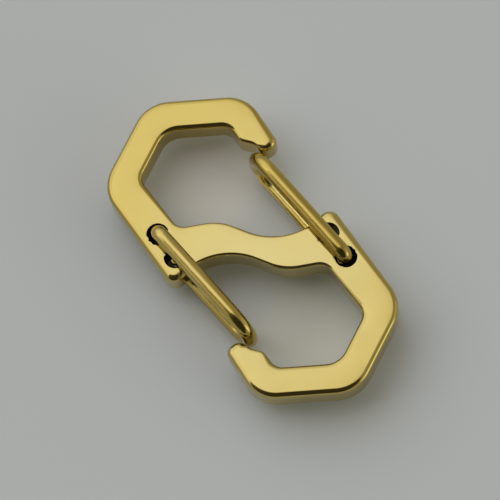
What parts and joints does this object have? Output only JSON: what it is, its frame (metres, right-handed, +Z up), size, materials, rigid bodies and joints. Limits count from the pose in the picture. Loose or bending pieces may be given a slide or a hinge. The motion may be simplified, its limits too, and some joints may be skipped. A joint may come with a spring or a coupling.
{
  "type": "s-hook clasp",
  "caption": "S-shaped flat metal clasp with opposed hexagonal hooks, each closed by a sprung wire gate, for joining rings, straps or cords.",
  "frame": {"origin": "middle of the footprint, on the surface that the clasp lies on", "axes": "+X along the clasp from the upper gate's hook to the lower gate's hook, +Y across it in the plate's plane, +Z up out of the plate's face"},
  "size_m": [0.03, 0.0152, 0.0056],
  "materials": {
    "gold_plate": "mirror polished, gold-plated",
    "gold_wire": "mirror polished, gold-plated"
  },
  "bodies": {
    "frame": {"s_frame": "gold_plate"},
    "lower_gate": {"lower_gate": "gold_wire"},
    "upper_gate": {"upper_gate": "gold_wire"}
  },
  "joints": [
    {"name": "lower_gate_hinge", "type": "hinge", "parent": "frame", "child": "lower_gate", "pos_m": [-0.00365, -0.0058, 0.0028], "axis": [0, 0, 1], "range_deg": [0, 28], "stiffness_Nm_per_rad": 0.012, "springref_deg": -20.05},
    {"name": "upper_gate_hinge", "type": "hinge", "parent": "frame", "child": "upper_gate", "pos_m": [0.00365, 0.0058, 0.0028], "axis": [0, 0, 1], "range_deg": [0, 28], "stiffness_Nm_per_rad": 0.012, "springref_deg": -20.05}
  ]
}
